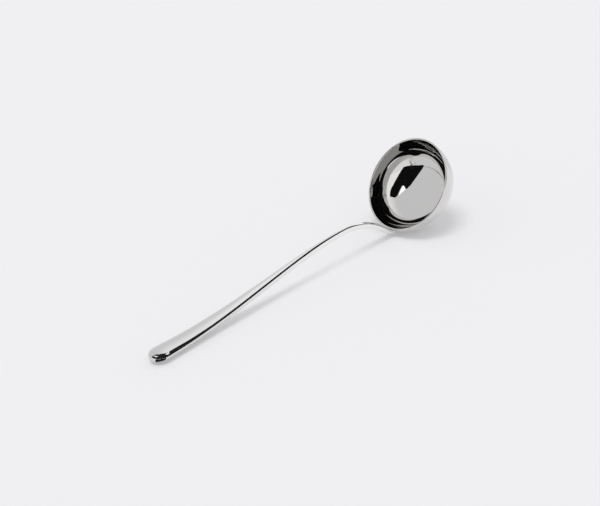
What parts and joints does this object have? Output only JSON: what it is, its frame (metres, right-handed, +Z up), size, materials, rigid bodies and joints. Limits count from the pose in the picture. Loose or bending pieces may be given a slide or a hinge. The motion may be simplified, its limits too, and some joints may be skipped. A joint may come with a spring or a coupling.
{
  "type": "soup ladle",
  "caption": "Soup ladle: a deep round bowl of drawn sheet steel, welded to the end of a solid handle that rises from the rim, bends over a crest and swells to a smooth rounded grip.",
  "frame": {"origin": "centre of the part's box at the height of the table that the ladle lies on", "axes": "+X runs along the ladle from the grip towards the bowl, +Z is up from the table, and Y = 0 is its plane of symmetry"},
  "size_m": [0.3116, 0.081, 0.0708],
  "materials": {
    "bowl_steel": "polished",
    "handle_steel": "polished",
    "weld": "matte"
  },
  "bodies": {
    "root": {"bowl": "bowl_steel", "handle": "handle_steel", "weld_nuggets": "weld"}
  },
  "joints": []
}
